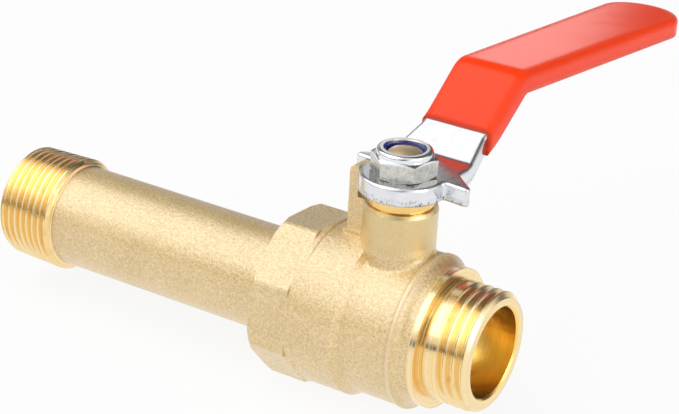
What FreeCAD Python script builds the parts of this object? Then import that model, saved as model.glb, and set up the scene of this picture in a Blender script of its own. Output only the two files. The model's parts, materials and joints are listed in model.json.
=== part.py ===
import FreeCAD, Part
import math
import os

import Sketcher

# Water heater drain valve: a quarter turn ball valve with a long threaded inlet pipe,
# a hose thread outlet and a stamped lever with a dipped sleeve.
# Origin at the centre of the inlet end, +X along the flow, +Z up the stem.
# Every piece is drawn about the crossing of the flow axis and the stem axis, then moved by inlet_length.
# The lever is drawn closed, square to the flow, pointing along +Y.

DIMENSIONS = {
    # Flow axis: distances from the stem axis
    "inlet_length": 101.4,
    "outlet_length": 25.1,
    # From the port outwards, radii about the flow axis
    "port_radius": 9.5,
    "ball_wall": 5.0,
    "cavity_gap": 0.5,
    "cavity_step": 0.55,
    "body_wall": 1.6,
    "band_step": 1.4,
    "lip_step": 0.3,
    "shoulder_step": 1.5,
    "outlet_bore_step": 0.6,
    "mouth_chamfer": 0.4,
    # Inlet pipe and its tapered pipe thread
    "pipe_wall": 2.4,
    "pipe_thread_length": 14.4,
    "pipe_thread_radius": 13.0,
    "pipe_thread_pitch": 1.8143,
    "pipe_thread_depth": 1.3,
    "pipe_thread_taper": 0.03125,
    "pipe_thread_lead_in": 1.0,
    "collar_chamfer": 0.75,
    "collar_back": 0.35,
    "pipe_root_fillet": 0.8,
    # Wrench octagon
    "octagon_flats": 36.0,
    "octagon_turn": 3.2,
    "octagon_corner_trim": 0.13,
    "octagon_face": 16.4,
    "octagon_length": 9.4,
    "octagon_chamfer": 0.8,
    # Spigot that screws into the valve body, and its sealing ring
    "thread_gap": 0.05,
    "spigot_setback": 2.5,
    "cavity_setback": 0.5,
    # Clear space round the closed ball's ends, behind the seats
    "relief_gap": 0.9,
    "relief_step": 0.4,
    "seal_groove_offset": 0.9,
    "seal_groove_width": 1.7,
    "seal_section": 1.3,
    # Cast body
    "inlet_lip_width": 1.3,
    "inlet_band_end": 4.6,
    "band_slope": 1.6,
    "ridge_place": 8.8,
    "ridge_width": 0.7,
    "ridge_height": 0.25,
    "shoulder_back": 11.9,
    "shoulder_face": 14.1,
    # Hose thread outlet
    "hose_thread_radius": 13.4,
    "hose_thread_start": 18.0,
    "hose_thread_pitch": 2.2087,
    "hose_thread_depth": 1.2,
    "hose_thread_chamfer": 0.85,
    "neck_groove_depth": 0.35,
    "neck_groove_width": 0.7,
    # Ball and seats
    "slot_width": 4.6,
    "slot_depth": 3.3,
    "seat_gap": 0.05,
    "seat_bore_step": 0.3,
    "seat_inset": 1.3,
    "seat_setback": 3.1,
    "seat_length": 3.5,
    "seat_pocket_gap": 0.03,
    # Stem
    "stem_radius": 4.5,
    "running_gap": 0.05,
    "tang_length": 8.4,
    "tang_play": 0.1,
    "tang_floor_gap": 0.3,
    "stem_flange_step": 1.6,
    "stem_flange_rise": 0.9,
    "stem_thread_step": 0.5,
    "stem_flat_depth": 0.75,
    "stem_end_drop": 0.2,
    "stem_dome": 0.9,
    "stem_seal_rise": 0.5,
    "stem_seal_section": 0.95,
    "stem_seal_groove_width": 1.2,
    # Stem hole and boss
    "flange_pocket_gap": 0.1,
    "pocket_roof": 3.4,
    "throat_length": 2.0,
    "packing_width": 1.8,
    "packing_depth": 7.5,
    "boss_wall": 1.76,
    "boss_foot_fillet": 1.5,
    "boss_top_chamfer": 0.35,
    "boss_top_slope": 0.8,
    # Packing
    "thrust_washer_thickness": 1.0,
    "packing_ring_height": 2.2,
    "gland_ring_height": 1.0,
    "packing_nut_flats": 13.7,
    "packing_nut_inset": 0.9,
    "packing_nut_collar": 2.75,
    "packing_nut_chamfer": 0.35,
    # Stop post on the body
    "post_gap": 0.3,
    "post_thickness": 2.2,
    "post_width": 4.2,
    "post_overlap": 3.35,
    "post_round": 1.4,
    "post_web_drop": 0.9,
    "post_foot_step": 0.6,
    "post_foot_height": 0.7,
    # Lever: plate about the stem, riser and grip, places measured along the lever
    "plate_gap": 0.1,
    "lever_depth": 3.95,
    "sheet_thickness": 2.2,
    "disc_radius": 9.3,
    "ear_gap": 0.4,
    "ear_tilt": 4.8,
    "left_ear_overhang": 2.1,
    "right_ear_overhang": 3.4,
    "ear_width": 1.6,
    "notch_half_width": 9.9,
    "notch_place": 6.7,
    "foot_half_width": 10.0,
    "foot_place": 9.8,
    "neck_place": 20.8,
    "crease_place": 12.9,
    "crease_angle": 23.0,
    "crease_radius": 1.2,
    "riser_place": 17.0,
    "riser_angle": 35.0,
    "riser_bend_radius": 20.0,
    "grip_place": 36.1,
    "grip_fall_angle": 5.6,
    "grip_bend_radius": 6.85,
    "tip_place": 124.5,
    "tip_half_width": 9.55,
    "grip_spread_angle": 1.0,
    "lever_edge_radius": 0.6,
    "lever_corner_radius": 0.7,
    "flat_hole_gap": 0.06,
    # Dipped sleeve
    "sleeve_wall": 0.6,
    "sleeve_gap": 0.02,
    "sleeve_start": 21.8,
    "sleeve_edge_radius": 1.5,
    "sleeve_under_radius": 0.6,
    # Lock nut and its nylon ring
    "lock_nut_flats": 12.7,
    "lock_nut_turn": 17.6,
    "lock_nut_hex_height": 4.3,
    "lock_nut_height": 5.7,
    "lock_nut_collar_inset": 0.3,
    "lock_nut_rim_step": 0.55,
    "lock_nut_rim_wall": 0.5,
    "lock_nut_chamfer": 0.55,
    "lock_nut_collar_round": 0.75,
    "nylon_width": 1.3,
    "nylon_height": 1.6,
}

# Shares of the pitch in a truncated vee thread
THREAD_TOP_SHARE = 0.44
THREAD_CREST_SHARE = 0.40
THREAD_ROOT_SHARE = 0.06
THREAD_OVERCUT_SHARE = 0.44
THREAD_RUN_IN_SHARE = 1.1
THREAD_RUN_OUT_SHARE = 1.3

# How far one drawn shape runs into the next one of the same piece, and how far cuts run out past a face
LAP = 0.5
CLEAR = 1.0

doc = FreeCAD.newDocument("drain_valve")
sheet = doc.addObject("Spreadsheet::Sheet", "Sizes")
for row, (alias, number) in enumerate(DIMENSIONS.items(), start=1):
    sheet.set(f"A{row}", alias)
    sheet.set(f"B{row}", str(number))
    sheet.setAlias(f"B{row}", alias)
doc.recompute()


class Size:
    """A length or an angle as a number, with the formula that keeps it tied to the sheet."""

    def __init__(self, number, formula):
        self.number = number
        self.formula = formula

    def __add__(self, other):
        other = as_size(other)
        return Size(self.number + other.number, f"({self.formula} + {other.formula})")

    def __sub__(self, other):
        other = as_size(other)
        return Size(self.number - other.number, f"({self.formula} - {other.formula})")

    def __mul__(self, other):
        other = as_size(other)
        return Size(self.number * other.number, f"({self.formula} * {other.formula})")

    def __truediv__(self, other):
        other = as_size(other)
        return Size(self.number / other.number, f"({self.formula} / {other.formula})")

    def __neg__(self):
        return Size(-self.number, f"(0 - {self.formula})")


def as_size(value):
    if isinstance(value, Size):
        return value
    return Size(float(value), f"{float(value):.9f}")


def given(alias):
    """The sheet's own value under this name."""
    return Size(float(sheet.get(alias)), f"Sizes.{alias}")


def tangent(angle):
    return Size(math.tan(math.radians(angle.number)), f"tan({angle.formula})")


def sine(angle):
    return Size(math.sin(math.radians(angle.number)), f"sin({angle.formula})")


def cosine(angle):
    return Size(math.cos(math.radians(angle.number)), f"cos({angle.formula})")


def root(size):
    return Size(math.sqrt(size.number), f"sqrt({size.formula})")


ZERO = as_size(0)


def bind(target, **values):
    """Ties a feature's lengths to the sheet."""
    for name, size in values.items():
        target.setExpression(name, size.formula)


def new_body(label):
    """A piece drawn about the stem axis and carried to its place along the flow axis."""
    body = doc.addObject("PartDesign::Body", label)
    body.Label = label
    body.setExpression("Placement.Base.x", inlet_length.formula)
    return body


def new_sketch(body, label, role):
    """An empty sketch on one of the body's own planes."""
    sketch = body.newObject("Sketcher::SketchObject", label)
    plane = next(item for item in body.Origin.OriginFeatures if item.Role == role)
    sketch.AttachmentSupport = [(plane, "")]
    sketch.MapMode = "FlatFace"
    return sketch


class Arc:
    """A corner reached along an arc. bulge is +1 where the way there turns left, -1 where it turns right."""

    def __init__(self, across, along, radius, bulge):
        self.point = (as_size(across), as_size(along))
        self.radius = radius
        self.bulge = bulge


def vector(point):
    return FreeCAD.Vector(point[0].number, point[1].number, 0)


def arc_geometry(start, end, radius, bulge):
    """The short arc between two points."""
    chord = end - start
    reach = math.sqrt(max(radius ** 2 - (chord.Length / 2) ** 2, 0.0))
    left = FreeCAD.Vector(-chord.y, chord.x, 0).normalize()
    centre = (start + end) * 0.5 + left * reach * bulge
    first, last = (start, end) if bulge > 0 else (end, start)
    circle = Part.Circle(centre, FreeCAD.Vector(0, 0, 1), radius)
    opening = math.atan2(first.y - centre.y, first.x - centre.x)
    closing = math.atan2(last.y - centre.y, last.x - centre.x)
    return Part.ArcOfCircle(circle, opening, closing)


def tie(sketch, kind, *places_and_size):
    """One constraint of the sketch, held at a size of the sheet."""
    places, size = places_and_size[:-1], places_and_size[-1]
    index = sketch.addConstraint(Sketcher.Constraint(kind, *places, size.number))
    sketch.setExpression(f"Constraints[{index}]", size.formula)


def outline(body, label, role, corners):
    """A closed sketch whose every corner is tied to the sheet."""
    sketch = new_sketch(body, label, role)
    bends = [corner if isinstance(corner, Arc) else None for corner in corners]
    points = [c.point if isinstance(c, Arc) else (as_size(c[0]), as_size(c[1])) for c in corners]
    edges = []
    for index, point in enumerate(points):
        following = (index + 1) % len(points)
        start, end = vector(point), vector(points[following])
        bend = bends[following]
        if bend:
            edge = sketch.addGeometry(arc_geometry(start, end, bend.radius.number, bend.bulge))
            ends = (1, 2) if bend.bulge > 0 else (2, 1)
        else:
            edge = sketch.addGeometry(Part.LineSegment(start, end))
            ends = (1, 2)
        edges.append((edge, *ends))
    for index, (edge, first, last) in enumerate(edges):
        following = (index + 1) % len(edges)
        after, after_first, _ = edges[following]
        sketch.addConstraint(Sketcher.Constraint("Coincident", edge, last, after, after_first))
        tie(sketch, "DistanceX", -1, 1, edge, first, points[index][0])
        tie(sketch, "DistanceY", -1, 1, edge, first, points[index][1])
        if bends[following]:
            tie(sketch, "Radius", edge, bends[following].radius)
    doc.recompute()
    return sketch


def add_feature(body, kind, label, **settings):
    feature = body.newObject(kind, label)
    for name, value in settings.items():
        setattr(feature, name, value)
    return feature


def close_feature(body, feature):
    body.Tip = feature
    doc.recompute()
    if "Invalid" in feature.State or "Error" in feature.State or not feature.isValid():
        raise RuntimeError(f"{feature.Label}: {feature.getStatusString()}")
    return feature


TURNING = {
    "flow": ("XY_Plane", "H_Axis"),
    "stem": ("XZ_Plane", "V_Axis"),
    "cross": ("XY_Plane", "V_Axis"),
}


def turned(body, label, corners, axis="flow", cut=False):
    """A shape turned about the flow, stem or cross axis, added to the body or cut from it."""
    role, reference = TURNING[axis]
    sketch = outline(body, f"{label}_outline", role, corners)
    kind = "PartDesign::Groove" if cut else "PartDesign::Revolution"
    before = body.Tip.Shape.Volume if cut else 0
    feature = add_feature(body, kind, label, Profile=sketch, ReferenceAxis=(sketch, [reference]), Angle=360)
    close_feature(body, feature)
    if cut and feature.Shape.Volume >= before:
        raise RuntimeError(f"{label} cuts nothing")
    return feature


def raised(body, label, sketch, length, start=ZERO, both_ways=False):
    """A sketch raised along its plane's normal from start, or evenly to both sides."""
    sketch.setExpression("AttachmentOffset.Base.z", start.formula)
    side = "Symmetric" if both_ways else "One side"
    feature = add_feature(body, "PartDesign::Pad", label, Profile=sketch, SideType=side)
    bind(feature, Length=length)
    return close_feature(body, feature)


def pocketed(body, label, sketch, length, start=ZERO, both_ways=False):
    """A sketch cut along its plane's normal from start, or evenly to both sides."""
    sketch.setExpression("AttachmentOffset.Base.z", start.formula)
    side = "Symmetric" if both_ways else "One side"
    before = body.Tip.Shape.Volume
    feature = add_feature(body, "PartDesign::Pocket", label, Profile=sketch, SideType=side, Reversed=True)
    bind(feature, Length=length)
    close_feature(body, feature)
    if feature.Shape.Volume >= before:
        raise RuntimeError(f"{label} cuts nothing")
    return feature


def polygon(flats, count, turn=ZERO):
    """Corners of a regular polygon of this width across flats, turned from where a flat faces along."""
    reach = flats / 2 / cosine(as_size(180 / count))
    turns = [turn + (index + 0.5) * 360 / count + 90 for index in range(count)]
    return [(reach * cosine(turn), reach * sine(turn)) for turn in turns]


def helical_thread(body, label, crest, depth, pitch, start, length, taper=None):
    """A vee thread cut about the flow axis, towards the outlet from start."""
    corners = [
        (start - pitch * THREAD_TOP_SHARE, crest + pitch * THREAD_OVERCUT_SHARE),
        (start - pitch * THREAD_CREST_SHARE, crest),
        (start - pitch * THREAD_ROOT_SHARE, crest - depth),
        (start + pitch * THREAD_ROOT_SHARE, crest - depth),
        (start + pitch * THREAD_CREST_SHARE, crest),
        (start + pitch * THREAD_TOP_SHARE, crest + pitch * THREAD_OVERCUT_SHARE),
    ]
    sketch = outline(body, f"{label}_profile", "XY_Plane", corners)
    before = body.Tip.Shape.Volume
    feature = add_feature(
        body, "PartDesign::SubtractiveHelix", label,
        Profile=sketch, ReferenceAxis=(sketch, ["H_Axis"]), Mode=0,
    )
    bind(feature, Pitch=pitch, Height=length)
    if taper:
        feature.setExpression("Angle", f"atan({taper.formula})")
    close_feature(body, feature)
    if feature.Shape.Volume >= before:
        raise RuntimeError(f"{label} cuts nothing")
    return feature


def fillet(body, label, radius, wanted):
    """Rounds every edge of the body that the test wanted picks."""
    base = body.Tip
    names = [f"Edge{index}" for index, edge in enumerate(base.Shape.Edges, start=1) if wanted(edge)]
    feature = add_feature(body, "PartDesign::Fillet", label, Base=(base, names))
    bind(feature, Radius=radius)
    return close_feature(body, feature)


inlet_length = given("inlet_length")
outlet_length = given("outlet_length")
running_gap = given("running_gap")
thread_gap = given("thread_gap")

# Radii about the flow axis, from the port outwards
port_radius = given("port_radius")
ball_radius = port_radius + given("ball_wall")
cavity_radius = ball_radius + given("cavity_gap")
spigot_radius = cavity_radius + given("cavity_step")
barrel_radius = spigot_radius + given("body_wall")
shoulder_radius = barrel_radius - given("shoulder_step")
outlet_bore_radius = port_radius + given("outlet_bore_step")
pipe_radius = port_radius + given("pipe_wall")
seat_bore_radius = port_radius + given("seat_bore_step")
seat_radius = ball_radius - given("seat_inset")
seat_pocket_radius = seat_radius + given("seat_pocket_gap")

# Places along the flow
octagon_face = given("octagon_face")
seat_back = ball_radius - given("seat_setback")
seat_front = seat_back - given("seat_length")
spigot_end = seat_back - given("spigot_setback")
cavity_back = spigot_end - given("cavity_setback")
relief_end = ball_radius + given("relief_gap")

# Radii about the stem axis
stem_radius = given("stem_radius")
stem_hole_radius = stem_radius + running_gap
flange_radius = stem_radius + given("stem_flange_step")
flange_pocket_radius = flange_radius + given("flange_pocket_gap")
packing_radius = stem_radius + given("packing_width")
packing_outer = packing_radius - running_gap
boss_radius = packing_radius + given("boss_wall")
stem_thread_radius = stem_radius - given("stem_thread_step")
nut_bore_radius = stem_thread_radius + thread_gap
nylon_radius = stem_thread_radius + given("nylon_width")
post_inner = given("disc_radius") + given("post_gap")
post_outer = post_inner + given("post_thickness")

# Levels up the stem
slot_floor = ball_radius - given("slot_depth")
flange_bottom = ball_radius + given("stem_flange_rise")
flange_pocket_top = cavity_radius + given("pocket_roof")
flange_top = flange_pocket_top - given("thrust_washer_thickness")
throat_top = flange_pocket_top + given("throat_length")
ring_height = given("packing_ring_height")
packing_top = throat_top + ring_height * 2
gland_top = packing_top + given("gland_ring_height")
boss_top = throat_top + given("packing_depth")
packing_nut_top = boss_top + given("packing_nut_collar")
lever_bottom = packing_nut_top + given("plate_gap")
lever_top = lever_bottom + given("lever_depth")
plate_bottom = lever_top - given("sheet_thickness")
post_top = lever_bottom + given("post_overlap")
nut_top = lever_top + given("lock_nut_height")
nylon_top = nut_top - given("lock_nut_rim_wall")
nylon_bottom = nylon_top - given("nylon_height")
stem_top = nut_top - given("stem_end_drop")
stem_seal_level = boss_top + given("stem_seal_rise")

# The lever's side outlines start just short of its disc
lever_start = -given("disc_radius") - CLEAR

# The ears' front edges lie on one slightly turned line, and the closed lever's left ear stops just
# beside the post
ear_tilt = given("ear_tilt")
ear_front = (given("post_width") / 2 + given("ear_gap") - post_inner * tangent(ear_tilt)) * cosine(ear_tilt)


def make_valve_body():
    """Cast body: barrel, stem boss, stop post and the hose thread outlet."""
    body = new_body("valve_body")
    barrel = barrel_radius
    band = barrel + given("band_step")
    lip = band + given("lip_step")
    lip_end = given("inlet_lip_width") - octagon_face
    ridge = given("ridge_place")
    ridge_half = given("ridge_width") / 2
    ridge_top = barrel + given("ridge_height")
    shoulder = shoulder_radius
    shoulder_back = given("shoulder_back")
    # A hollow from the ridge down to the shoulder, where it runs out level
    hollow_length = shoulder_back - ridge - ridge_half
    hollow_fall = ridge_top - shoulder
    hollow_radius = (hollow_length * hollow_length / hollow_fall + hollow_fall) / 2
    face = given("shoulder_face")
    neck = given("hose_thread_radius")
    groove = given("neck_groove_depth")
    groove_end = face + given("neck_groove_width")
    end_chamfer = given("hose_thread_chamfer")
    turned(body, "barrel", [
        (-octagon_face, 0),
        (-octagon_face, barrel),
        (ridge - ridge_half * 2, barrel),
        (ridge - ridge_half, ridge_top),
        (ridge + ridge_half, ridge_top),
        Arc(shoulder_back, shoulder, hollow_radius, +1),
        (face, shoulder),
        (face, neck - groove),
        (groove_end, neck - groove),
        (groove_end + groove, neck),
        (outlet_length - end_chamfer, neck),
        (outlet_length, neck - end_chamfer),
        (outlet_length, 0),
    ])
    turned(body, "boss", [
        (0, 0),
        (boss_radius, 0),
        (boss_radius, boss_top - given("boss_top_slope")),
        (boss_radius - given("boss_top_chamfer"), boss_top),
        (0, boss_top),
    ], axis="stem")
    fillet(body, "boss_foot", given("boss_foot_fillet"), at_boss_foot)
    turned(body, "inlet_band", [
        (-octagon_face, 0),
        (-octagon_face, lip),
        (lip_end, lip),
        (lip_end + (lip - band), band),
        (-given("inlet_band_end"), band),
        (given("band_slope") - given("inlet_band_end"), barrel - LAP),
        (given("band_slope") - given("inlet_band_end"), 0),
    ])
    web_top = boss_top - given("post_web_drop")
    post_round = given("post_round")
    foot = cavity_radius + CLEAR
    post = outline(body, "post_outline", "XZ_Plane", [
        (-post_outer, foot),
        (-boss_radius + LAP, foot),
        (-boss_radius + LAP, web_top),
        (-post_inner, web_top),
        (-post_inner, post_top),
        (post_round - post_outer, post_top),
        Arc(-post_outer, post_top - post_round, post_round, +1),
    ])
    raised(body, "post", post, given("post_width"), both_ways=True)
    step = given("post_foot_step")
    foot_top = band + given("post_foot_height")
    post_foot = outline(body, "post_foot_outline", "XZ_Plane", [
        (-post_outer - step, foot),
        (-boss_radius + LAP, foot),
        (-boss_radius + LAP, foot_top),
        (-post_outer - step, foot_top),
    ])
    raised(body, "post_foot", post_foot, given("post_width") + step * 2, both_ways=True)
    bore = outlet_bore_radius
    relief = given("relief_step")
    mouth = given("mouth_chamfer")
    turned(body, "flow_passage", [
        (-octagon_face - CLEAR, 0),
        (-octagon_face - CLEAR, spigot_radius + thread_gap),
        (-cavity_back, spigot_radius + thread_gap),
        (-cavity_back, cavity_radius),
        (seat_front, cavity_radius),
        (seat_front, seat_pocket_radius),
        (seat_back, seat_pocket_radius),
        (seat_back, bore + relief),
        (relief_end, bore + relief),
        (relief_end, bore),
        (outlet_length - mouth, bore),
        (outlet_length + CLEAR, bore + mouth + CLEAR),
        (outlet_length + CLEAR, 0),
    ], cut=True)
    turned(body, "stem_hole", [
        (0, 0),
        (flange_pocket_radius, 0),
        (flange_pocket_radius, flange_pocket_top),
        (stem_hole_radius, flange_pocket_top),
        (stem_hole_radius, throat_top),
        (packing_radius, throat_top),
        (packing_radius, boss_top + CLEAR),
        (0, boss_top + CLEAR),
    ], axis="stem", cut=True)
    pitch = given("hose_thread_pitch")
    start = given("hose_thread_start")
    helical_thread(
        body, "hose_thread", neck, given("hose_thread_depth"), pitch, start, outlet_length - start + pitch,
    )
    return body


def at_boss_foot(edge):
    """True on the curve where the boss meets the barrel."""
    points = edge.discretize(9)
    on_boss = all(abs(math.hypot(p.x, p.y) - boss_radius.number) < 0.01 for p in points)
    return on_boss and 1 < min(p.z for p in points) and max(p.z for p in points) < barrel_radius.number + 0.01


def make_inlet_tailpiece():
    """Long inlet pipe with its tapered thread, wrench octagon and the spigot into the body."""
    body = new_body("inlet_tailpiece")
    start = -inlet_length
    crest = given("pipe_thread_radius")
    taper = given("pipe_thread_taper")
    lead_in = given("pipe_thread_lead_in")
    collar_end = given("pipe_thread_length")
    chamfer = given("collar_chamfer")
    back = given("collar_back")
    pipe = pipe_radius
    root_fillet = given("pipe_root_fillet")
    relief = given("relief_step")
    octagon_back = -octagon_face - given("octagon_length")
    groove_front = given("seal_groove_offset") - octagon_face
    groove_end = groove_front + given("seal_groove_width")
    groove_floor = spigot_radius + thread_gap - given("seal_section")
    wide = crest + collar_end * taper
    turned(body, "pipe", [
        (start, 0),
        (start, crest - lead_in),
        (start + lead_in, crest + lead_in * taper),
        (start + collar_end, wide),
        (start + collar_end + chamfer, wide - chamfer),
        (start + collar_end + chamfer + back, pipe),
        (octagon_back - root_fillet, pipe),
        Arc(octagon_back, pipe + root_fillet, root_fillet, +1),
        (-octagon_face, pipe + root_fillet),
        (-octagon_face, spigot_radius),
        (groove_front, spigot_radius),
        (groove_front, groove_floor),
        (groove_end, groove_floor),
        (groove_end, spigot_radius),
        (-spigot_end, spigot_radius),
        (-spigot_end, 0),
    ])
    flats = given("octagon_flats")
    octagon = outline(body, "octagon_outline", "YZ_Plane", polygon(flats, 8, -given("octagon_turn")))
    raised(body, "octagon", octagon, given("octagon_length"), start=octagon_back)
    corner = flats / 2 / cosine(as_size(180 / 8)) - given("octagon_corner_trim")
    break_edge = given("octagon_chamfer")
    clear = corner + break_edge + CLEAR
    turned(body, "octagon_corners", [
        (octagon_back - CLEAR, corner - break_edge - CLEAR),
        (octagon_back + break_edge, corner),
        (-octagon_face, corner),
        (-octagon_face, clear),
        (octagon_back - CLEAR, clear),
    ], cut=True)
    turned(body, "pipe_bore", [
        (start - CLEAR, 0),
        (start - CLEAR, port_radius),
        (-relief_end, port_radius),
        (-relief_end, port_radius + relief),
        (-seat_back, port_radius + relief),
        (-seat_back, seat_pocket_radius),
        (-spigot_end + CLEAR, seat_pocket_radius),
        (-spigot_end + CLEAR, 0),
    ], cut=True)
    pitch = given("pipe_thread_pitch")
    helical_thread(
        body, "pipe_thread", crest, given("pipe_thread_depth"), pitch,
        start - pitch * THREAD_RUN_IN_SHARE, collar_end + pitch * THREAD_RUN_OUT_SHARE, taper=taper,
    )
    return body


def make_ball():
    """Ball with a straight port, which lies along the lever, and the slot for the stem."""
    body = new_body("ball")
    half_port = root(ball_radius * ball_radius - port_radius * port_radius)
    turned(body, "sphere", [
        (port_radius, -half_port),
        Arc(port_radius, half_port, ball_radius, +1),
    ], axis="cross")
    half_slot = given("slot_width") / 2
    slot = outline(body, "slot_outline", "YZ_Plane", [
        (-half_slot, slot_floor),
        (half_slot, slot_floor),
        (half_slot, ball_radius + CLEAR),
        (-half_slot, ball_radius + CLEAR),
    ])
    pocketed(body, "slot", slot, (ball_radius + CLEAR) * 2, both_ways=True)
    return body


def make_seat(label, side):
    """Seat ring with a spherical face against the ball. side is +1 at the outlet, -1 at the inlet."""
    body = new_body(label)
    touch = ball_radius + given("seat_gap")
    inner = seat_bore_radius
    outer = seat_radius
    turned(body, f"{label}_ring", [
        (seat_front * side, root(touch * touch - seat_front * seat_front)),
        Arc(root(touch * touch - inner * inner) * side, inner, touch, -side),
        (seat_back * side, inner),
        (seat_back * side, outer),
        (seat_front * side, outer),
    ])
    return body


def make_ring(label, inner, outer, bottom, top):
    """A plain ring about the stem."""
    body = new_body(label)
    turned(body, f"{label}_ring", [(inner, bottom), (outer, bottom), (outer, top), (inner, top)], axis="stem")
    return body


def make_round_seal(label, floor, section, along_flow=ZERO, up_stem=ZERO, about_flow=False):
    """A sealing ring of round section that lies on the floor of its groove."""
    ring = doc.addObject("Part::Torus", label)
    ring.Label = label
    bind(ring, Radius1=floor + section / 2, Radius2=section / 2)
    if about_flow:
        ring.Placement = FreeCAD.Placement(FreeCAD.Vector(), FreeCAD.Rotation(FreeCAD.Vector(0, 1, 0), 90))
    ring.setExpression("Placement.Base.x", (inlet_length + along_flow).formula)
    ring.setExpression("Placement.Base.z", up_stem.formula)
    doc.recompute()
    return ring


def make_body_seal_ring():
    """Sealing ring in the spigot's groove."""
    section = given("seal_section") - thread_gap
    place = given("seal_groove_offset") + given("seal_groove_width") / 2 - octagon_face
    floor = spigot_radius + thread_gap - given("seal_section")
    return make_round_seal("body_seal_ring", floor, section, along_flow=place, about_flow=True)


def make_stem_seal_ring():
    """Sealing ring in the stem's groove, inside the packing nut."""
    section = given("stem_seal_section")
    return make_round_seal("stem_seal_ring", stem_radius - section, section, up_stem=stem_seal_level)


def make_stem():
    """Blow-out proof stem: tang, flange, packed shank and a flatted thread end with a domed top."""
    body = new_body("stem")
    groove_bottom = stem_seal_level - given("stem_seal_groove_width") / 2
    groove_top = groove_bottom + given("stem_seal_groove_width")
    groove_floor = stem_radius - given("stem_seal_section")
    thread = stem_thread_radius
    top = stem_top
    dome = given("stem_dome")
    dome_radius = (thread * thread + dome * dome) / (dome * 2)
    turned(body, "shank", [
        (0, flange_bottom),
        (flange_radius, flange_bottom),
        (flange_radius, flange_top),
        (stem_radius, flange_top),
        (stem_radius, groove_bottom),
        (groove_floor, groove_bottom),
        (groove_floor, groove_top),
        (stem_radius, groove_top),
        (stem_radius, plate_bottom),
        (thread, plate_bottom),
        (thread, top - dome),
        Arc(0, top, dome_radius, +1),
    ], axis="stem")
    half_length = given("tang_length") / 2
    half_width = given("slot_width") / 2 - given("tang_play")
    tang = outline(body, "tang_outline", "XY_Plane", [
        (-half_length, -half_width),
        (half_length, -half_width),
        (half_length, half_width),
        (-half_length, half_width),
    ])
    tang_bottom = slot_floor + given("tang_floor_gap")
    raised(body, "tang", tang, flange_bottom + LAP - tang_bottom, start=tang_bottom)
    flat = thread - given("stem_flat_depth")
    clear = thread + CLEAR
    for side, name in ((1, "right"), (-1, "left")):
        cut = outline(body, f"{name}_flat_outline", "XY_Plane", [
            (flat * side, -clear),
            (clear * side, -clear),
            (clear * side, clear),
            (flat * side, clear),
        ])
        pocketed(body, f"{name}_flat", cut, top + CLEAR - plate_bottom, start=plate_bottom)
    return body


def make_packing_nut():
    """Packing nut: a threaded spigot in the boss under a collar with six short wrench flats."""
    body = new_body("packing_nut")
    bottom = boss_top
    top = packing_nut_top
    hexagon = outline(body, "collar_outline", "XY_Plane", polygon(given("packing_nut_flats"), 6))
    raised(body, "collar", hexagon, top - bottom, start=bottom)
    corner = boss_radius - given("packing_nut_inset")
    chamfer = given("packing_nut_chamfer")
    clear = given("packing_nut_flats")
    turned(body, "collar_corners", [
        (corner - chamfer, bottom - CLEAR),
        (corner - chamfer, bottom),
        (corner, bottom + chamfer),
        (corner, top - chamfer),
        (corner - chamfer, top),
        (corner - chamfer, top + CLEAR),
        (clear, top + CLEAR),
        (clear, bottom - CLEAR),
    ], axis="stem", cut=True)
    spigot = packing_radius - thread_gap
    turned(body, "spigot", [
        (0, gland_top),
        (spigot, gland_top),
        (spigot, bottom + LAP),
        (0, bottom + LAP),
    ], axis="stem")
    turned(body, "stem_clearance", [
        (0, gland_top - CLEAR),
        (stem_hole_radius, gland_top - CLEAR),
        (stem_hole_radius, top + CLEAR),
        (0, top + CLEAR),
    ], axis="stem", cut=True)
    return body


def corner_of(place, level, turn_in, turn_out, radius, grow):
    """One rounded corner of the lever line, moved out by grow: where it starts and ends, and its radius.

    The line comes in climbing at turn_in and leaves climbing at turn_out; it is hollow where it gets steeper.
    """
    spread = cosine(turn_out - turn_in) + 1
    along = place - grow * (sine(turn_in) + sine(turn_out)) / spread
    up = level + grow * (cosine(turn_in) + cosine(turn_out)) / spread
    hollow = turn_out.number > turn_in.number
    radius = radius - grow if hollow else radius + grow
    turn = turn_out - turn_in if hollow else turn_in - turn_out
    reach = radius * tangent(turn / 2)
    start = (along - reach * cosine(turn_in), up - reach * sine(turn_in))
    end = (along + reach * cosine(turn_out), up + reach * sine(turn_out))
    return [start, Arc(*end, radius, +1 if hollow else -1)]


def lever_line(grow):
    """The lever's top line seen from the side, moved out by grow: its points and its rounded corners.

    The line runs level over the plate, starts to climb at a tight crease, climbs the riser and falls gently
    along the grip.
    """
    riser = given("riser_angle")
    fall = ZERO - given("grip_fall_angle")
    crease = given("crease_angle")
    crease_place = given("crease_place")
    riser_place = given("riser_place")
    steepening = tangent(riser) - tangent(crease)
    foot = (riser_place * tangent(riser) - crease_place * tangent(crease)) / steepening
    foot_level = lever_top + (foot - crease_place) * tangent(crease)
    bend = given("grip_place")
    bend_level = lever_top + (bend - riser_place) * tangent(riser)
    end = given("tip_place") + CLEAR * 3
    # The grip's line moved out by grow, at its end
    end_level = bend_level + (end - bend) * tangent(fall) + grow / cosine(fall)
    return [
        (lever_start, lever_top + grow),
        *corner_of(crease_place, lever_top, ZERO, crease, given("crease_radius"), grow),
        *corner_of(foot, foot_level, crease, riser, given("riser_bend_radius"), grow),
        *corner_of(bend, bend_level, riser, fall, given("grip_bend_radius"), grow),
        (end, end_level),
    ]


def beyond_line(line, height):
    """Corners of the region between a lever line and a level at height."""
    return [*line, (line[-1][0], height), (lever_start, height)]


def along_line(sketch):
    """A test that picks the edges which run along this side outline, not those straight across it."""
    def picks(edge):
        points = edge.discretize(7)
        near = (sketch.Shape.distToShape(Part.Vertex(0, p.y, p.z))[0] for p in points)
        length = max(p.y for p in points) - min(p.y for p in points)
        return length > 0.01 and all(distance < 0.01 for distance in near)
    return picks


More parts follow.
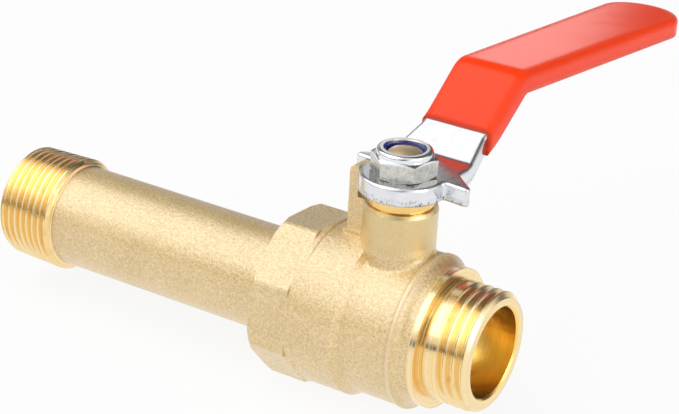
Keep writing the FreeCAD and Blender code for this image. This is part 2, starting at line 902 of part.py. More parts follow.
def upright_corner(edge):
    """True on the upright corners about the plate, up to the riser."""
    first, last = edge.discretize(2)
    upright = math.hypot(first.x - last.x, first.y - last.y) < 0.01
    return upright and abs(first.x) > 0.01 and first.y < given("sleeve_start").number


def lever_solid(label, plan, over, under=None, corner_radius=None, edge_radius=None, under_radius=None):
    """The plan outline between two lever lines, over and under; without under it stays open downwards."""
    body = new_body(label)
    floor = lever_bottom - given("lever_depth") * 2
    ceiling = lever_top + given("grip_place")
    width = (post_outer + given("right_ear_overhang") + CLEAR) * 2
    plan_sketch = outline(body, f"{label}_plan", "XY_Plane", plan)
    raised(body, f"{label}_blank", plan_sketch, ceiling - floor - CLEAR, start=floor + CLEAR)
    if corner_radius:
        fillet(body, f"{label}_corners", corner_radius, upright_corner)
    above = outline(body, f"{label}_above", "YZ_Plane", beyond_line(lever_line(over), ceiling))
    pocketed(body, f"{label}_top", above, width, both_ways=True)
    if under:
        below = outline(body, f"{label}_below", "YZ_Plane", beyond_line(lever_line(under), floor))
        pocketed(body, f"{label}_underside", below, width, both_ways=True)
    if edge_radius:
        fillet(body, f"{label}_edges", edge_radius, along_line(above))
    if under_radius:
        fillet(body, f"{label}_under_edges", under_radius, along_line(below))
    return body


def mirrored(corners):
    """The same corners on the other side of the lever, in the opposite order."""
    return [(-across, along) for across, along in reversed(corners)]


def grip_half_width(place, grow):
    """Half the width of the tapered grip at this place along it, moved out by grow."""
    spread = given("grip_spread_angle")
    centre = given("tip_place") - given("tip_half_width")
    return (given("tip_half_width") + grow + (place - centre) * sine(spread)) / cosine(spread)


def tip_plan(grow):
    """Corners of the grip's round tip, moved out by grow, from right to left and tangent to the sides."""
    spread = given("grip_spread_angle")
    centre = given("tip_place") - given("tip_half_width")
    radius = given("tip_half_width") + grow
    side = radius * cosine(spread)
    side_end = centre - radius * sine(spread)
    return [
        (side, side_end),
        Arc(0, centre + radius, radius, +1),
        Arc(-side, side_end, radius, +1),
    ]


def on_ear_line(reach, behind=ZERO):
    """The place reach to the right along the ears' front line, and behind it by so much."""
    near = ear_front + behind
    return near * sine(ear_tilt) + reach * cosine(ear_tilt), near * cosine(ear_tilt) - reach * sine(ear_tilt)


def disc_plan(radius, grip, sides, right_ear=(), left_ear=()):
    """Plan outline with a round disc about the stem, its ears, the sides up to the grip, and the grip."""
    rim = root(radius * radius - ear_front * ear_front)
    return [
        Arc(0, -radius, radius, +1),
        Arc(*on_ear_line(rim), radius, +1),
        *right_ear,
        *sides,
        *grip,
        *mirrored(sides),
        *left_ear,
        on_ear_line(-rim),
    ]


def make_lever():
    """Stamped lever: disc with two stop ears about the stem, riser and channel shaped grip."""
    wall = given("sheet_thickness")
    ear_width = given("ear_width")
    right_reach = post_outer + given("right_ear_overhang")
    left_reach = post_outer + given("left_ear_overhang")
    foot_half = given("foot_half_width")
    foot = given("foot_place")
    neck = given("neck_place")
    radius = given("disc_radius")
    outside = disc_plan(
        radius,
        tip_plan(ZERO),
        [
            (given("notch_half_width"), given("notch_place")),
            (foot_half, foot),
            (grip_half_width(neck, ZERO), neck),
        ],
        right_ear=[on_ear_line(right_reach), on_ear_line(right_reach - ear_width / 4, ear_width)],
        left_ear=[on_ear_line(ear_width / 4 - left_reach, ear_width), on_ear_line(-left_reach)],
    )
    inside = disc_plan(
        radius - wall,
        tip_plan(-wall),
        [(foot_half - wall, foot), (grip_half_width(neck, -wall), neck)],
    )
    blank = lever_solid(
        "lever_blank", outside, ZERO, under=-given("lever_depth"),
        corner_radius=given("lever_corner_radius"), edge_radius=given("lever_edge_radius"),
    )
    hollow = lever_solid("lever_hollow", inside, -wall)
    gap = given("flat_hole_gap")
    hole = stem_thread_radius + gap
    flat = stem_thread_radius - given("stem_flat_depth") + gap
    flat_end = root(hole * hole - flat * flat)
    double_flat = outline(hollow, "stem_hole_outline", "XY_Plane", [
        Arc(flat, -flat_end, hole, +1),
        (flat, flat_end),
        Arc(-flat, flat_end, hole, +1),
        (-flat, -flat_end),
    ])
    raised(hollow, "stem_hole_in_plate", double_flat, wall + CLEAR * 2, start=plate_bottom - CLEAR)
    return cut_piece("lever", blank, hollow)


def cut_piece(label, base, tool):
    """The base with the tool's shape taken out of it."""
    piece = doc.addObject("Part::Cut", label)
    piece.Label = label
    piece.Base = base
    piece.Tool = tool
    doc.recompute()
    return piece


def make_lever_grip():
    """Dipped sleeve that follows the steel over the upper riser and the whole grip."""
    wall = given("sleeve_wall")
    gap = given("sleeve_gap")
    depth = given("lever_depth")
    start = given("sleeve_start")

    def shell(label, grow, place, edge_radius, under_radius=None):
        half = grip_half_width(place, grow)
        plan = [(half, place), *tip_plan(grow), (-half, place)]
        return lever_solid(
            label, plan, grow, under=-depth - grow, edge_radius=edge_radius, under_radius=under_radius,
        )

    skin = shell("grip_skin", wall, start, given("sleeve_edge_radius"), given("sleeve_under_radius"))
    core = shell("grip_core", gap, start - CLEAR, given("lever_edge_radius") + gap)
    return cut_piece("lever_grip", skin, core)


def make_lock_nut():
    """Thin lock nut: hexagon with turned off corners under a round collar that holds a nylon ring."""
    body = new_body("lock_nut")
    flats = given("lock_nut_flats")
    bottom = lever_top
    hex_top = bottom + given("lock_nut_hex_height")
    hexagon = outline(body, "nut_outline", "XY_Plane", polygon(flats, 6, given("lock_nut_turn")))
    raised(body, "nut_hexagon", hexagon, hex_top - bottom, start=bottom)
    chamfer = given("lock_nut_chamfer")
    inner = flats / 2
    outer = inner + chamfer * 2
    for name, level, way in (("upper", hex_top, 1), ("lower", bottom, -1)):
        turned(body, f"{name}_corners", [
            (inner, level),
            (outer, level - chamfer * way),
            (outer, level + CLEAR * way),
            (inner, level + CLEAR * way),
        ], axis="stem", cut=True)
    collar = flats / 2 - given("lock_nut_collar_inset")
    collar_round = given("lock_nut_collar_round")
    turned(body, "collar", [
        (0, hex_top - LAP),
        (collar, hex_top - LAP),
        (collar, nut_top - collar_round),
        Arc(collar - collar_round, nut_top, collar_round, +1),
        (0, nut_top),
    ], axis="stem")
    rim = stem_thread_radius + given("lock_nut_rim_step")
    turned(body, "nut_bore", [
        (0, bottom - CLEAR),
        (nut_bore_radius, bottom - CLEAR),
        (nut_bore_radius, nylon_bottom),
        (nylon_radius, nylon_bottom),
        (nylon_radius, nylon_top),
        (rim, nylon_top),
        (rim, nut_top + CLEAR),
        (0, nut_top + CLEAR),
    ], axis="stem", cut=True)
    return body


PIECES = [
    make_valve_body(),
    make_inlet_tailpiece(),
    make_ball(),
    make_seat("inlet_seat", -1),
    make_seat("outlet_seat", +1),
    make_body_seal_ring(),
    make_stem(),
    make_ring(
        "stem_thrust_washer", stem_hole_radius, flange_pocket_radius - running_gap,
        flange_top, flange_pocket_top,
    ),
    make_ring("packing_ring_lower", stem_hole_radius, packing_outer, throat_top, throat_top + ring_height),
    make_ring("packing_ring_upper", stem_hole_radius, packing_outer, throat_top + ring_height, packing_top),
    make_ring("gland_ring", stem_hole_radius, packing_outer, packing_top, gland_top),
    make_packing_nut(),
    make_stem_seal_ring(),
    make_lever(),
    make_lever_grip(),
    make_lock_nut(),
    make_ring("nylon_insert", nut_bore_radius, nylon_radius, nylon_bottom, nylon_top),
]

os.makedirs("parts", exist_ok=True)
for item in doc.Objects:
    if "Invalid" in item.State or "Error" in item.State:
        raise RuntimeError(f"{item.Label} is not in order")
for piece in PIECES:
    shape = piece.Shape
    if shape.isNull() or not shape.isValid() or len(shape.Solids) != 1:
        raise RuntimeError(f"{piece.Label} is not one valid solid")
    box = shape.BoundBox
    print(
        f"{piece.Label}: {shape.Volume:.1f} mm3,"
        f" x {box.XMin:.2f} {box.XMax:.2f}, y {box.YMin:.2f} {box.YMax:.2f}, z {box.ZMin:.2f} {box.ZMax:.2f}"
    )
    shape.exportStep(f"parts/{piece.Label}.step")
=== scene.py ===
import json
import math

import bpy
from mathutils import Matrix, Vector


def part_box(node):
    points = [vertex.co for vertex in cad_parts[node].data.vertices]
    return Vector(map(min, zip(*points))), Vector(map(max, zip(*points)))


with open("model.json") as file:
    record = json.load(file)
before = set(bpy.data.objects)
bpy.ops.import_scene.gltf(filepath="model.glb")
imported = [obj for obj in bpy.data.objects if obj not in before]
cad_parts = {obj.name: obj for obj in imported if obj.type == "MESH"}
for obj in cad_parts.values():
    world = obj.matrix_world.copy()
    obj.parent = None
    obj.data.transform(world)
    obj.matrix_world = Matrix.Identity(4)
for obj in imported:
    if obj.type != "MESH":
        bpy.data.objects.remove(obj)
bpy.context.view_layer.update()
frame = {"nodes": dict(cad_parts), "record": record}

MM = 0.001


def bore_radius(mount_name):
    """The radius of one of the record's bore mounts."""
    mount = next(mount for mount in frame["record"]["mounts"] if mount["name"] == mount_name)
    return mount["dims"]["r_mm"] * MM


# Places read from the frame
BODY_LOW, BODY_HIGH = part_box("valve_body")
NUT_LOW, NUT_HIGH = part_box("lock_nut")
PIPE_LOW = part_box("inlet_tailpiece")[0]
LEVER_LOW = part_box("lever")[0]
STEM_X = (NUT_LOW.x + NUT_HIGH.x) / 2
FLOOR_Z = min(BODY_LOW.z, PIPE_LOW.z)
BORE_RADIUS = bore_radius("outlet_bore")

# Where blasted brass ends and machined brass begins, along the flow
BODY_MACHINED_FROM = BODY_HIGH.x - 12.6 * MM
THREAD_MACHINED_TO = PIPE_LOW.x + 15.4 * MM
MACHINED_BORDER = 0.25 * MM
# The boss round the stem is smoother than the casting, from above its foot
BOSS_RADIUS = 8.2 * MM
BOSS_SMOOTH_FROM = 18.0 * MM
BOSS_SMOOTH_ALL = 20.0 * MM
# A cast ridge runs round the barrel this far from the stem, towards the outlet
RIDGE_X = STEM_X + 8.8 * MM
BARREL_RADIUS = 18.6 * MM
# The nut is forged up to here and turned above
NUT_FLATS_TOP = NUT_LOW.z + 3.6 * MM

# Linear colours
BLASTED_BRASS = (0.94, 0.73, 0.39)
BLASTED_DARK = (0.66, 0.47, 0.17)
# Painted highlight on brass edges and along the crest of the cast ridge
BRASS_PAINTED_HIGHLIGHT = (0.98, 0.82, 0.54)
FACED_BRASS = (0.70, 0.51, 0.18)
MACHINED_BRASS = (0.93, 0.65, 0.25)
MACHINED_PALE = (0.96, 0.76, 0.43)
# Brighter, more saturated brass in the bore: painted light bounced inside it
BORE_PAINTED_BOUNCE_LIGHT = (1.0, 0.66, 0.13)
STAIN_BRASS = (0.74, 0.42, 0.10)
STEM_BRASS = (0.92, 0.72, 0.48)
ZINC = (0.83, 0.84, 0.86)
ZINC_SHADE = (0.62, 0.64, 0.68)
SHEARED_STEEL = (0.10, 0.10, 0.11)
NICKEL = (0.72, 0.71, 0.66)
NICKEL_SHADE = (0.50, 0.50, 0.46)
CHROME = (0.75, 0.75, 0.77)
VINYL = (1.0, 0.054, 0.003)
VINYL_DEEP = (0.98, 0.047, 0.002)
NYLON = (0.006, 0.030, 0.22)
SEAT_WHITE = (0.86, 0.86, 0.83)
RUBBER_BLACK = (0.015, 0.015, 0.015)
FLOOR_PAINT = (0.80, 0.80, 0.80)
WHITE = (1.0, 1.0, 1.0)

# What the surroundings show in a mirror, where 1 is white
FRONT_GLOW = 0.92
LOW_LINE_GLOW = 0.06
OPENING_GLOW = 0.08
BACK_GLOW = 0.12
BACK_WALL_GLOW = 1.3
RIGHT_GLOW = 1.15


class Tree:
    """Short words for building a node tree."""

    def __init__(self, tree):
        self.tree = tree

    def node(self, kind, values=None, **settings):
        node = self.tree.nodes.new(kind)
        for name, value in settings.items():
            setattr(node, name, value)
        self.fill(node, values or {})
        return node

    def fill(self, node, values):
        for name, value in values.items():
            self.feed(node.inputs[name], value)

    def feed(self, socket, value):
        if isinstance(value, bpy.types.NodeSocket):
            self.tree.links.new(value, socket)
        elif isinstance(value, tuple) and len(value) == 3 and socket.type == "RGBA":
            socket.default_value = (*value, 1.0)
        else:
            socket.default_value = value

    def math(self, operation, first, second=0.0):
        return self.node("ShaderNodeMath", {0: first, 1: second}, operation=operation).outputs[0]

    def plus(self, first, second):
        return self.math("ADD", first, second)

    def minus(self, first, second):
        return self.math("SUBTRACT", first, second)

    def times(self, first, second):
        return self.math("MULTIPLY", first, second)

    def larger(self, first, second):
        return self.math("MAXIMUM", first, second)

    def size_of(self, value):
        return self.math("ABSOLUTE", value)

    def distance(self, first, second):
        return self.math("SQRT", self.plus(self.times(first, first), self.times(second, second)))

    def dot(self, first, second):
        values = {0: first, 1: second}
        return self.node("ShaderNodeVectorMath", values, operation="DOT_PRODUCT").outputs["Value"]

    def span(self, value, low, high, bottom=0.0, top=1.0, smooth=False):
        """The value's place between low and high, as a number from bottom to top."""
        kind = "SMOOTHSTEP" if smooth else "LINEAR"
        values = {"Value": value, "From Min": low, "From Max": high, "To Min": bottom, "To Max": top}
        ranged = self.node("ShaderNodeMapRange", values, interpolation_type=kind, clamp=True)
        return ranged.outputs["Result"]

    def mixed(self, factor, first, second):
        """A number between first and second."""
        values = {"Factor": factor, "A": first, "B": second}
        return self.node("ShaderNodeMix", values, data_type="FLOAT").outputs["Result"]

    def blend(self, factor, first, second):
        """A colour between first and second."""
        node = self.node("ShaderNodeMix", {"Factor": factor}, data_type="RGBA")
        colours = [socket for socket in node.inputs if socket.type == "RGBA"]
        self.feed(colours[0], first)
        self.feed(colours[1], second)
        return next(socket for socket in node.outputs if socket.type == "RGBA")

    def noise(self, place, scale, detail, roughness):
        """Uneven noise with this many grains to the metre."""
        values = {"Vector": place, "Scale": scale, "Detail": detail, "Roughness": roughness}
        return self.node("ShaderNodeTexNoise", values).outputs["Fac"]

    def line_noise(self, place, roughness):
        """Noise along one direction only."""
        values = {"W": place, "Scale": 1.0, "Detail": 2.0, "Roughness": roughness}
        return self.node("ShaderNodeTexNoise", values, noise_dimensions="1D").outputs["Fac"]

    def stretched(self, place, scale):
        return self.node("ShaderNodeMapping", {"Vector": place, "Scale": scale}).outputs["Vector"]

    def own_place(self):
        return self.node("ShaderNodeTexCoord").outputs["Object"]

    def facing(self):
        return self.node("ShaderNodeNewGeometry").outputs["Normal"]

    def split(self, place):
        outputs = self.node("ShaderNodeSeparateXYZ", {"Vector": place}).outputs
        return outputs["X"], outputs["Y"], outputs["Z"]


def new_group(name, inputs, outputs):
    """An empty shader group with its named sockets, and short words for filling it."""
    tree = bpy.data.node_groups.new(name, "ShaderNodeTree")
    for label, value in inputs.items():
        socket = tree.interface.new_socket(label, in_out="INPUT", socket_type="NodeSocketFloat")
        socket.default_value = value
    for label, kind in outputs.items():
        tree.interface.new_socket(label, in_out="OUTPUT", socket_type=f"NodeSocket{kind}")
    words = Tree(tree)
    given = words.node("NodeGroupInput").outputs
    result = words.node("NodeGroupOutput")
    return words, given, result


def blasted_grain_group():
    """Fine even grain of a blasted casting, with coarser dimples and slow patches of tone."""
    words, given, result = new_group(
        "blasted grain",
        {"Grain": 2400.0, "Dimples": 1100.0, "Patches": 90.0},
        {"Height": "Float", "Tone": "Float", "Patch": "Float"},
    )
    place = words.own_place()
    fine = words.noise(place, given["Grain"], 3.0, 0.7)
    coarse = words.noise(place, given["Dimples"], 3.0, 0.6)
    pits = words.node("ShaderNodeTexVoronoi", {"Vector": place, "Scale": given["Grain"]}).outputs["Distance"]
    height = words.plus(words.plus(fine, words.times(pits, 0.3)), words.times(coarse, 1.6))
    tone = words.plus(words.span(fine, 0.40, 0.60, 0.0, 0.7), words.span(coarse, 0.35, 0.65, 0.0, 0.3))
    patch = words.noise(place, given["Patches"], 4.0, 0.6)
    words.fill(result, {"Height": height, "Tone": tone, "Patch": patch})
    return words.tree


def turning_marks_group():
    """Fine rings that a turning tool leaves, out from the axis and along it, with slow stains."""
    words, given, result = new_group(
        "turning marks",
        {"Along": 0.0, "Out": 0.0, "Rings": 9000.0},
        {"Height": "Float", "Sheen": "Float", "Stain": "Float"},
    )
    travel = words.plus(given["Along"], words.times(given["Out"], 1.3))
    rings = words.times(travel, given["Rings"])
    stain = words.noise(words.own_place(), 260.0, 4.0, 0.65)
    words.fill(result, {
        "Height": words.line_noise(rings, 0.6),
        "Sheen": words.line_noise(words.times(rings, 0.17), 0.5),
        "Stain": stain,
    })
    return words.tree


def softened_edge_group():
    """A normal that rounds sharp edges, and a mask of where they are."""
    words, given, result = new_group(
        "softened edge",
        {"Radius": 0.3 * MM},
        {"Normal": "Vector", "Edge": "Float"},
    )
    rounded = words.node("ShaderNodeBevel", {"Radius": given["Radius"]}, samples=6).outputs["Normal"]
    edge = words.span(words.dot(rounded, words.facing()), 0.995, 0.80)
    words.fill(result, {"Normal": rounded, "Edge": edge})
    return words.tree


GRAIN = blasted_grain_group()
MARKS = turning_marks_group()
EDGE = softened_edge_group()


def new_material(name):
    """A material with a shader, and short words for its node tree."""
    material = bpy.data.materials.new(name)
    material.use_nodes = True
    material.node_tree.nodes.clear()
    words = Tree(material.node_tree)
    surface = words.node("ShaderNodeBsdfPrincipled")
    words.node("ShaderNodeOutputMaterial", {"Surface": surface.outputs[0]})
    return material, words, surface


def effect(words, tree, **values):
    return words.node("ShaderNodeGroup", values, node_tree=tree).outputs


def bumped(words, height, strength, distance, normal=None):
    values = {"Height": height, "Strength": strength, "Distance": distance}
    if normal is not None:
        values["Normal"] = normal
    return words.node("ShaderNodeBump", values).outputs["Normal"]


def flow_places(words):
    """How far along the flow axis and how far out from it."""
    x, y, z = words.split(words.own_place())
    return x, words.distance(y, z)


def stem_places(words):
    """How far along the stem and how far out from its axis."""
    x, y, z = words.split(words.own_place())
    return z, words.distance(words.minus(x, STEM_X), y)


def ridge_painted_light(words, x, out):
    """Masks of a painted highlight along the crest of the cast ridge, and of painted shade at its foot."""
    off = words.size_of(words.minus(x, RIDGE_X))
    barrel = words.span(out, BARREL_RADIUS + 0.6 * MM, BARREL_RADIUS)
    crest = words.times(words.span(off, 0.50 * MM, 0.20 * MM), barrel)
    foot = words.times(words.span(off, 1.40 * MM, 0.60 * MM), barrel)
    return crest, foot


def cast_finish(words, x, out, edge):
    """Colour, roughness and height of blasted brass, smoother on the boss, with painted highlight and shade.
    """
    level, stem_out = stem_places(words)
    on_boss = words.span(stem_out, BOSS_RADIUS + 0.2 * MM, BOSS_RADIUS)
    smooth = words.times(on_boss, words.span(level, BOSS_SMOOTH_FROM, BOSS_SMOOTH_ALL))
    grain = effect(words, GRAIN, Grain=2400.0, Dimples=1100.0, Patches=90.0)
    tone = words.plus(words.times(grain["Tone"], 0.9), words.span(grain["Patch"], 0.35, 0.7, 0.0, 0.2))
    crest, foot = ridge_painted_light(words, x, out)
    colour = words.blend(tone, BLASTED_DARK, BLASTED_BRASS)
    # Painted shade beside the foot of the cast ridge
    colour = words.blend(words.times(foot, 0.4), colour, BLASTED_DARK)
    # Painted highlight along the crest of the cast ridge
    colour = words.blend(words.times(crest, 0.5), colour, BRASS_PAINTED_HIGHLIGHT)
    colour = words.blend(words.times(smooth, 0.7), colour, FACED_BRASS)
    # Painted highlight on sharp edges
    colour = words.blend(words.times(edge, 0.7), colour, BRASS_PAINTED_HIGHLIGHT)
    roughness = words.mixed(smooth, words.span(grain["Tone"], 0.0, 1.0, 0.66, 0.50), 0.42)
    height = words.times(grain["Height"], words.mixed(smooth, 1.0, 0.25))
    return colour, roughness, height


def turned_finish(words, x, out, bore):
    """Colour, roughness and height of machined brass, with painted bounce light in the bore."""
    marks = effect(words, MARKS, Along=x, Out=out, Rings=9000.0)
    colour = words.blend(words.span(marks["Sheen"], 0.3, 0.7), MACHINED_BRASS, MACHINED_PALE)
    colour = words.blend(words.span(marks["Stain"], 0.55, 0.8, 0.0, 0.6), colour, STAIN_BRASS)
    # Painted bounce light: the bore gets brighter, more saturated brass
    colour = words.blend(bore, colour, BORE_PAINTED_BOUNCE_LIGHT)
    roughness = words.span(marks["Sheen"], 0.3, 0.7, 0.12, 0.24)
    height = words.times(marks["Height"], 0.05)
    return colour, roughness, height


def brass_material(name, machined):
    """Blasted brass, with machined brass in the bore and where machined(words, x) gives 1."""
    material, words, surface = new_material(name)
    x, out = flow_places(words)
    bore = words.span(out, BORE_RADIUS + 0.9 * MM, BORE_RADIUS + 0.4 * MM)
    mask = words.larger(machined(words, x), bore)
    edge = effect(words, EDGE, Radius=0.28 * MM)
    cast_colour, cast_roughness, cast_height = cast_finish(words, x, out, edge["Edge"])
    turned_colour, turned_roughness, turned_height = turned_finish(words, x, out, bore)
    height = words.mixed(mask, cast_height, turned_height)
    words.fill(surface, {
        "Base Color": words.blend(mask, cast_colour, turned_colour),
        "Metallic": 1.0,
        "Roughness": words.mixed(mask, cast_roughness, turned_roughness),
        "Coat Weight": words.mixed(mask, 1.0, 0.5),
        "Coat IOR": 2.1,
        "Coat Roughness": 0.32,
        "Normal": bumped(words, height, 0.75, 0.27 * MM, edge["Normal"]),
    })
    return material


def body_machined(words, x):
    return words.span(x, BODY_MACHINED_FROM, BODY_MACHINED_FROM + MACHINED_BORDER)


def pipe_machined(words, x):
    return words.span(x, THREAD_MACHINED_TO + MACHINED_BORDER, THREAD_MACHINED_TO)


def turned_brass_material(name, colour, shade, rough):
    """Polished brass turned about the stem's axis."""
    material, words, surface = new_material(name)
    along, out = stem_places(words)
    marks = effect(words, MARKS, Along=along, Out=out, Rings=8000.0)
    edge = effect(words, EDGE, Radius=0.15 * MM)
    words.fill(surface, {
        "Base Color": words.blend(words.span(marks["Stain"], 0.4, 0.8, 0.0, 0.6), colour, shade),
        "Metallic": 1.0,
        "Roughness": words.span(marks["Sheen"], 0.3, 0.7, rough, rough + 0.1),
        "Normal": bumped(words, marks["Height"], 0.15, 0.03 * MM, edge["Normal"]),
    })
    return material


def torn_rim(words, place, cloud):
    """Mask of the lower part of upright faces, where the blank was torn by the shears."""
    level = words.split(place)[2]
    steep = words.span(words.size_of(words.split(words.facing())[2]), 0.55, 0.35)
    torn_to = words.plus(LEVER_LOW.z + 0.6 * MM, words.times(cloud, 1.6 * MM))
    below = words.span(words.minus(level, torn_to), 0.2 * MM, -0.2 * MM)
    return words.times(below, steep)


def zinc_material():
    """Bright zinc plate over stamped steel; the rim's lower part is torn where the blank was sheared."""
    material, words, surface = new_material("zinc plate on the lever")
    place = words.own_place()
    cloud = words.noise(place, 300.0, 4.0, 0.6)
    ripple = words.noise(place, 800.0, 3.0, 0.6)
    tear = words.noise(words.stretched(place, (1.0, 1.0, 0.45)), 2600.0, 3.0, 0.7)
    torn = torn_rim(words, place, cloud)
    pit = words.times(torn, words.span(tear, 0.56, 0.66))
    plate = words.blend(words.span(cloud, 0.35, 0.75, 0.0, 0.6), ZINC, ZINC_SHADE)
    plate_roughness = words.span(ripple, 0.3, 0.7, 0.09, 0.18)
    height = words.mixed(torn, words.times(ripple, 0.5), tear)
    edge = effect(words, EDGE, Radius=0.8 * MM)
    words.fill(surface, {
        "Base Color": words.blend(pit, plate, SHEARED_STEEL),
        "Metallic": 1.0,
        "Roughness": words.mixed(torn, plate_roughness, 0.38),
        "Normal": bumped(words, height, 0.25, 0.08 * MM, edge["Normal"]),
    })
    return material


def nickel_material():
    """Bright plated nut: forged flats with a fine mottle, polished where it was turned."""
    material, words, surface = new_material("nickel plate on the nut")
    place = words.own_place()
    flats = words.span(words.split(place)[2], NUT_FLATS_TOP + 0.5 * MM, NUT_FLATS_TOP)
    mottle = words.noise(place, 1300.0, 4.0, 0.65)
    forged_colour = words.blend(words.span(mottle, 0.35, 0.65), NICKEL_SHADE, NICKEL)
    forged_roughness = words.span(mottle, 0.3, 0.7, 0.20, 0.34)
    edge = effect(words, EDGE, Radius=0.18 * MM)
    words.fill(surface, {
        "Base Color": words.blend(flats, ZINC, forged_colour),
        "Metallic": 1.0,
        "Roughness": words.mixed(flats, 0.07, forged_roughness),
        "Normal": bumped(words, words.times(mottle, flats), 0.25, 0.08 * MM, edge["Normal"]),
    })
    return material


def vinyl_material():
    """Thick dipped vinyl: glossy, slightly wavy."""
    material, words, surface = new_material("red vinyl")
    place = words.own_place()
    wave = words.noise(place, 70.0, 2.0, 0.5)
    speck = words.noise(place, 1500.0, 2.0, 0.6)
    height = words.plus(wave, words.times(speck, 0.015))
    edge = effect(words, EDGE, Radius=2.5 * MM)
    words.fill(surface, {
        "Base Color": words.blend(words.span(wave, 0.3, 0.7), VINYL, VINYL_DEEP),
        "Roughness": words.span(speck, 0.3, 0.7, 0.10, 0.15),
        "Specular IOR Level": 0.25,
        "Normal": bumped(words, height, 0.2, 0.25 * MM, edge["Normal"]),
    })
    return material


def plain_material(name, colour, rough, metallic=0.0):
    """Small or hidden pieces: an even colour with a fine mottle."""
    material, words, surface = new_material(name)
    mottle = words.noise(words.own_place(), 800.0, 3.0, 0.6)
    darker = tuple(value * 0.8 for value in colour)
    words.fill(surface, {
        "Base Color": words.blend(words.span(mottle, 0.35, 0.7), colour, darker),
        "Metallic": metallic,
        "Roughness": words.span(mottle, 0.3, 0.7, rough, rough + 0.1),
        "Normal": bumped(words, mottle, 0.1, 0.03 * MM),
    })
    return material


def finishes():
    """The finish of each piece."""
    turned = turned_brass_material("turned brass", MACHINED_BRASS, STAIN_BRASS, 0.08)
    seat_plastic = plain_material("seat plastic", SEAT_WHITE, 0.4)
    seal_rubber = plain_material("seal rubber", RUBBER_BLACK, 0.5)
    return {
        "valve_body": brass_material("brass of the body", body_machined),
        "inlet_tailpiece": brass_material("brass of the pipe", pipe_machined),
        "packing_nut": turned,
        "gland_ring": turned,
        "stem": turned_brass_material("pale brass of the stem", STEM_BRASS, BLASTED_BRASS, 0.38),
        "lever": zinc_material(),
        "lock_nut": nickel_material(),
        "lever_grip": vinyl_material(),
        "nylon_insert": plain_material("blue nylon", NYLON, 0.22),
        "ball": plain_material("chromed ball", CHROME, 0.06, metallic=1.0),
        "inlet_seat": seat_plastic,
        "outlet_seat": seat_plastic,
        "stem_thrust_washer": seat_plastic,
        "packing_ring_lower": seat_plastic,
        "packing_ring_upper": seat_plastic,
        "body_seal_ring": seal_rubber,
        "stem_seal_ring": seal_rubber,
    }


def dress_pieces():
    for piece, finish in finishes().items():
        for slot in frame["nodes"][piece].material_slots:
            slot.material = finish


def floor_material():
    """White paint: white to the camera with a soft trace of the shadow, and in mirrors near the part."""
    material = bpy.data.materials.new("white floor")
    material.use_nodes = True
    material.node_tree.nodes.clear()
    words = Tree(material.node_tree)
    paint = words.node("ShaderNodeBsdfDiffuse", {"Color": FLOOR_PAINT})
    glow = words.node("ShaderNodeEmission", {"Color": WHITE, "Strength": 1.0})
    path = words.node("ShaderNodeLightPath").outputs
    seen = words.times(words.larger(path["Is Camera Ray"], path["Is Transmission Ray"]), 0.9)
    near_part = words.span(words.split(words.own_place())[1], 0.20, 0.12, 0.15, 0.95)
    share = words.larger(seen, words.times(path["Is Glossy Ray"], near_part))
    surface = words.node("ShaderNodeMixShader", {0: share, 1: paint.outputs[0], 2: glow.outputs[0]})
    words.node("ShaderNodeOutputMaterial", {"Surface": surface.outputs[0]})
    return material


def make_floor():
    reach = 4.0
    corners = [(x * reach, y * reach, FLOOR_Z) for x, y in ((-1, -1), (1, -1), (1, 1), (-1, 1))]
    mesh = bpy.data.meshes.new("floor")
    mesh.from_pydata(corners, [], [(0, 1, 2, 3)])
    mesh.materials.append(floor_material())
    floor = bpy.data.objects.new("floor", mesh)
    bpy.context.scene.collection.objects.link(floor)


def back_wall(words, x, z):
    """Mask of a pale wall behind on the left, from just above the horizon, paler towards its lower right."""
    wall = words.span(words.plus(x, words.times(z, 0.25)), -0.336, -0.352)
    wall = words.times(wall, words.span(z, 0.09, 0.12))
    wall = words.times(wall, words.span(z, 0.45, 0.28, 0.25, 1.0))
    wall = words.times(wall, words.span(z, 0.60, 0.45))
    return words.times(wall, words.span(x, -0.56, -0.46, 0.3, 1.0))


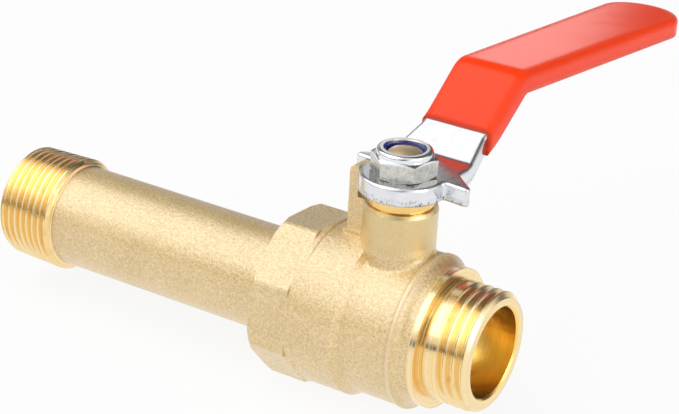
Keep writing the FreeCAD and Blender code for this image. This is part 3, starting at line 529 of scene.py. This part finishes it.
def make_world():
    """Studio surroundings: white to the camera, and in mirrors a pale front with a dark line low down and a
    darker opening, a dim back with one pale wall, and a white right side."""
    world = bpy.data.worlds.new("studio")
    bpy.context.scene.world = world
    world.use_nodes = True
    world.node_tree.nodes.clear()
    words = Tree(world.node_tree)
    direction = words.node("ShaderNodeTexCoord").outputs["Generated"]
    x, y, z = words.split(direction)
    opening = tuple(Vector((0.50, -0.80, 0.45)).normalized())
    in_opening = words.times(words.span(words.dot(direction, opening), 0.86, 0.96, smooth=True), 0.8)
    front = words.span(z, 0.08, 0.20, LOW_LINE_GLOW, FRONT_GLOW)
    front = words.mixed(in_opening, front, OPENING_GLOW)
    back = words.mixed(back_wall(words, x, z), BACK_GLOW, BACK_WALL_GLOW)
    level = words.mixed(words.span(y, 0.05, 0.30, smooth=True), front, back)
    level = words.mixed(words.span(x, 0.45, 0.80, smooth=True), level, RIGHT_GLOW)
    path = words.node("ShaderNodeLightPath").outputs
    strength = words.larger(path["Is Camera Ray"], level)
    background = words.node("ShaderNodeBackground", {"Color": WHITE, "Strength": strength})
    words.node("ShaderNodeOutputWorld", {"Surface": background.outputs[0]})


# The lamps face a place on the pipe, between its middle and the stem
LAMP_AIM = Vector((STEM_X * 0.7, 0.01, 0.0))


def make_lamp(name, towards, distance, width, height, brightness):
    """A soft box in a direction from the object, facing it. Brightness 1 shows as white in a mirror."""
    place = LAMP_AIM + Vector(towards).normalized() * distance
    light = bpy.data.lights.new(name, "AREA")
    light.shape = "RECTANGLE"
    light.size = width
    light.size_y = height
    light.energy = brightness * math.pi * width * height
    lamp = bpy.data.objects.new(name, light)
    bpy.context.scene.collection.objects.link(lamp)
    lamp.location = place
    lamp.rotation_mode = "QUATERNION"
    lamp.rotation_quaternion = (LAMP_AIM - place).to_track_quat("-Z", "Y")


def make_lamps():
    make_lamp("left box", (-0.474, -0.311, 0.824), distance=0.9, width=1.35, height=1.0, brightness=1.17)
    make_lamp("right box", (0.95, -0.10, 0.38), distance=0.9, width=0.45, height=0.5, brightness=2.0)


# The photo's view: the camera's own directions, its place and its lens on a sensor 36 mm wide
CAMERA_RIGHT = Vector((0.84100, 0.53857, 0.05167))
CAMERA_UP = Vector((-0.26035, 0.31911, 0.91126))
CAMERA_BACK = Vector((0.47428, -0.77982, 0.40859))
CAMERA_PLACE = Vector((0.189886 + STEM_X, -0.337217, 0.199062))
CAMERA_LENS = 106.22
CAMERA_SENSOR = 36.0


def make_camera():
    data = bpy.data.cameras.new("camera")
    data.sensor_fit = "HORIZONTAL"
    data.sensor_width = CAMERA_SENSOR
    data.lens = CAMERA_LENS
    data.clip_start = 0.01
    data.clip_end = 20.0
    camera = bpy.data.objects.new("camera", data)
    bpy.context.scene.collection.objects.link(camera)
    turn = Matrix((CAMERA_RIGHT, CAMERA_UP, CAMERA_BACK)).transposed()
    camera.matrix_world = Matrix.Translation(CAMERA_PLACE) @ turn.to_4x4()
    bpy.context.scene.camera = camera


dress_pieces()
make_floor()
make_world()
make_lamps()
make_camera()
bpy.context.scene.view_settings.view_transform = "Standard"
